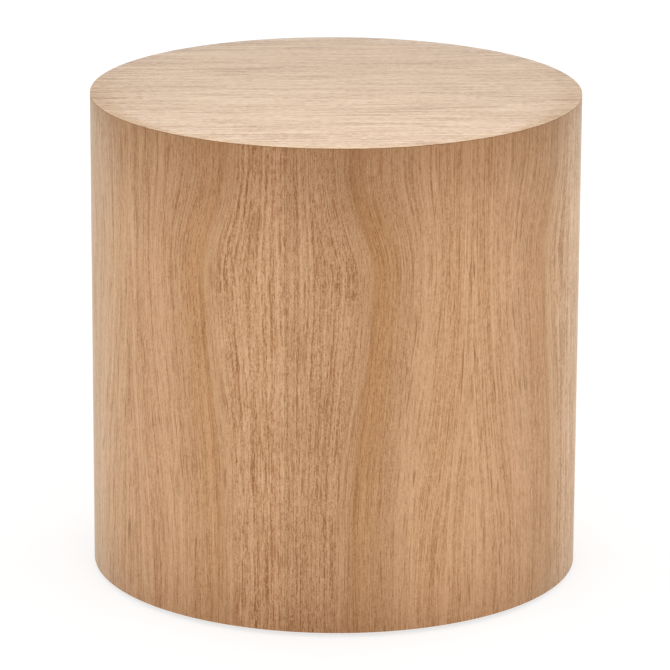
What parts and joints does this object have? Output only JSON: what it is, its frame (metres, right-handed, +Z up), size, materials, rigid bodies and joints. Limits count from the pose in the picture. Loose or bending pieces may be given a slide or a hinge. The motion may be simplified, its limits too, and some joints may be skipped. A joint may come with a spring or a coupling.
{
  "type": "drum side table",
  "caption": "Drum-shaped side table: a hollow wood-veneered cylinder with a flat round top and a recessed base, standing on levelling feet that wind out.",
  "frame": {"origin": "on the floor, at the middle of the table's footprint, with the feet wound in", "axes": "+Z up along the drum's axis, -Y towards the front that the picture shows, +X to its right"},
  "size_m": [0.45, 0.45, 0.45],
  "materials": {
    "wood_veneer_side": "satin lacquer",
    "wood_veneer_top": "satin lacquer",
    "backing_veneer": "raw",
    "bending_plywood": "raw",
    "fibreboard": "raw",
    "softwood": "planed",
    "beech": "planed",
    "zinc_plated_steel": "plated",
    "nylon": "moulded"
  },
  "bodies": {
    "drum": {"side_veneer": "wood_veneer_side", "top_veneer": "wood_veneer_top", "top_backing_veneer": "backing_veneer", "outer_ply_wrap": "bending_plywood", "inner_ply_wrap": "bending_plywood", "top_panel": "fibreboard", "top_ring": "fibreboard", "middle_ring": "fibreboard", "bottom_ring": "fibreboard", "base_panel": "fibreboard", "post_front": "softwood", "post_right": "softwood", "post_back": "softwood", "post_left": "softwood", "post_dowels": "beech", "post_screws": "zinc_plated_steel", "middle_ring_screws": "zinc_plated_steel", "top_screws": "zinc_plated_steel", "base_screws": "zinc_plated_steel", "tee_nuts": "zinc_plated_steel"},
    "pad_1": {"foot_pad_1": "nylon"},
    "stem_1": {"foot_stem_1": "zinc_plated_steel"},
    "pad_2": {"foot_pad_2": "nylon"},
    "stem_2": {"foot_stem_2": "zinc_plated_steel"},
    "pad_3": {"foot_pad_3": "nylon"},
    "stem_3": {"foot_stem_3": "zinc_plated_steel"},
    "pad_4": {"foot_pad_4": "nylon"},
    "stem_4": {"foot_stem_4": "zinc_plated_steel"}
  },
  "joints": [
    {"name": "foot_1_height", "type": "slide", "parent": "drum", "child": "pad_1", "axis": [0, 0, -1], "range_m": [0, 0.01]},
    {"name": "foot_1_turn", "type": "hinge", "parent": "pad_1", "child": "stem_1", "pos_m": [0.13221, 0.13221, 0], "axis": [0, 0, -1], "range_deg": [0, 2880]},
    {"name": "foot_2_height", "type": "slide", "parent": "drum", "child": "pad_2", "axis": [0, 0, -1], "range_m": [0, 0.01]},
    {"name": "foot_2_turn", "type": "hinge", "parent": "pad_2", "child": "stem_2", "pos_m": [-0.13221, 0.13221, 0], "axis": [0, 0, -1], "range_deg": [0, 2880]},
    {"name": "foot_3_height", "type": "slide", "parent": "drum", "child": "pad_3", "axis": [0, 0, -1], "range_m": [0, 0.01]},
    {"name": "foot_3_turn", "type": "hinge", "parent": "pad_3", "child": "stem_3", "pos_m": [-0.13221, -0.13221, 0], "axis": [0, 0, -1], "range_deg": [0, 2880]},
    {"name": "foot_4_height", "type": "slide", "parent": "drum", "child": "pad_4", "axis": [0, 0, -1], "range_m": [0, 0.01]},
    {"name": "foot_4_turn", "type": "hinge", "parent": "pad_4", "child": "stem_4", "pos_m": [0.13221, -0.13221, 0], "axis": [0, 0, -1], "range_deg": [0, 2880]}
  ],
  "couplings": [
    {"joint": "foot_1_turn", "follows": "foot_1_height", "rad_per_m": 5026.5},
    {"joint": "foot_2_turn", "follows": "foot_2_height", "rad_per_m": 5026.5},
    {"joint": "foot_3_turn", "follows": "foot_3_height", "rad_per_m": 5026.5},
    {"joint": "foot_4_turn", "follows": "foot_4_height", "rad_per_m": 5026.5}
  ]
}
